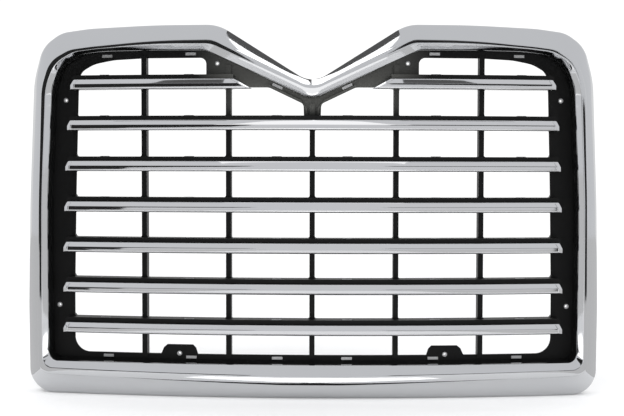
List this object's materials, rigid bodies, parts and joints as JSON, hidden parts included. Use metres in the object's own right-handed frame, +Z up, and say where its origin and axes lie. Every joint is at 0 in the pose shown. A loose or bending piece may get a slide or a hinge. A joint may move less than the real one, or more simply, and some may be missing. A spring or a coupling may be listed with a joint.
{
  "type": "front grille",
  "caption": "Bowed truck grille: chromed surround with a V notch at the top, black grid behind chromed cross bars, bolt holes in the grid.",
  "frame": {"origin": "middle of the grille's bounding box", "axes": "+X across the grille, +Z up, -Y out of the front face"},
  "size_m": [1.1098, 0.109, 0.7118],
  "materials": {
    "chrome": "polished",
    "chrome_bars": "polished",
    "black_plastic": "satin",
    "spring_steel": "satin",
    "zinc_steel": "satin"
  },
  "bodies": {
    "root": {"surround": "chrome", "carrier_grid": "black_plastic", "upper_bar_left": "chrome_bars", "upper_bar_right": "chrome_bars", "bar_2": "chrome_bars", "bar_3": "chrome_bars", "bar_4": "chrome_bars", "bar_5": "chrome_bars", "bar_6": "chrome_bars", "bar_7": "chrome_bars", "clips_upper_left": "spring_steel", "clips_upper_right": "spring_steel", "clips_bar_2": "spring_steel", "clips_bar_3": "spring_steel", "clips_bar_4": "spring_steel", "clips_bar_5": "spring_steel", "clips_bar_6": "spring_steel", "clips_bar_7": "spring_steel", "clips_top": "spring_steel", "clips_notch": "spring_steel", "clips_bottom": "spring_steel", "bushes_side_upper": "zinc_steel", "bushes_side_lower": "zinc_steel", "bushes_top": "zinc_steel", "bushes_bottom": "zinc_steel"}
  },
  "joints": []
}
